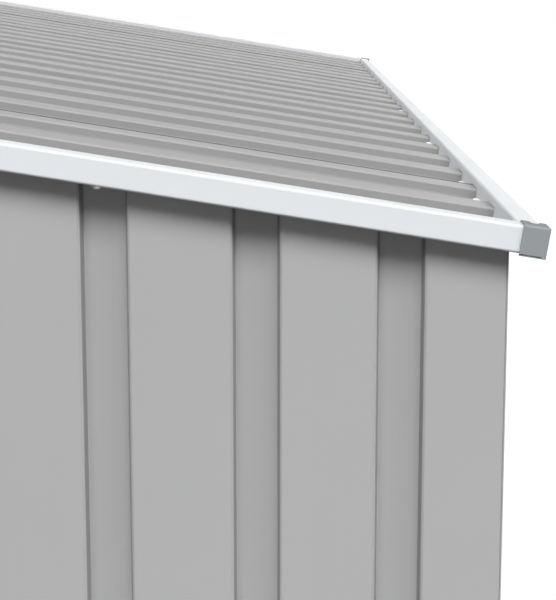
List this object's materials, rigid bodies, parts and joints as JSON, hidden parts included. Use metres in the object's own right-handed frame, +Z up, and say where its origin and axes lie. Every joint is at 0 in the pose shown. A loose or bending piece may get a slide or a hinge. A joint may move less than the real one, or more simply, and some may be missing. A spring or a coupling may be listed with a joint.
{
  "type": "log store",
  "caption": "Open-fronted steel log store with a pent roof: ribbed steel ends, back and roof, folded roof edge trims with moulded corner caps, and a slatted floor.",
  "frame": {"origin": "on the ground, at the middle of the store's footprint", "axes": "+X along the store's length, -Y towards the open front, +Y towards the low eave at the back, +Z up"},
  "size_m": [2.4358, 0.9851, 1.5908],
  "materials": {
    "zinc_frame": "galvanised, satin",
    "grey_frame": "satin coated steel",
    "grey_sheet": "satin coated steel sheet",
    "white_trim": "satin coated steel",
    "grey_cap": "matte moulded plastic",
    "white_cap": "glossy moulded screw cap",
    "screw_zinc": "zinc plated screw"
  },
  "bodies": {
    "root": {"base_rail_front": "zinc_frame", "base_rail_rear": "zinc_frame", "base_rail_left": "zinc_frame", "base_rail_right": "zinc_frame", "bearer_left": "zinc_frame", "bearer_middle": "zinc_frame", "bearer_right": "zinc_frame", "floor_slats_left": "zinc_frame", "floor_slats_right": "zinc_frame", "front_post_left": "grey_frame", "front_post_middle": "grey_frame", "front_post_right": "grey_frame", "rear_post_left": "zinc_frame", "rear_post_middle": "zinc_frame", "rear_post_right": "zinc_frame", "header": "grey_frame", "top_rail_rear": "zinc_frame", "top_rail_left": "zinc_frame", "top_rail_right": "zinc_frame", "rafter": "zinc_frame", "purlin_left": "zinc_frame", "purlin_right": "zinc_frame", "mid_rail_left": "zinc_frame", "mid_rail_right": "zinc_frame", "mid_rail_rear_left": "zinc_frame", "mid_rail_rear_right": "zinc_frame", "end_wall_left": "grey_sheet", "end_wall_right": "grey_sheet", "rear_wall_left": "grey_sheet", "rear_wall_middle": "grey_sheet", "rear_wall_right": "grey_sheet", "roof_sheet_1": "grey_sheet", "roof_sheet_2": "grey_sheet", "roof_sheet_3": "grey_sheet", "roof_sheet_4": "grey_sheet", "roof_sheet_5": "grey_sheet", "verge_trim_left": "white_trim", "verge_trim_right": "white_trim", "eave_trim_front": "white_trim", "eave_trim_rear": "white_trim", "corner_cap_front_left": "grey_cap", "corner_cap_front_right": "grey_cap", "corner_cap_rear_left": "grey_cap", "corner_cap_rear_right": "grey_cap"}
  },
  "joints": []
}
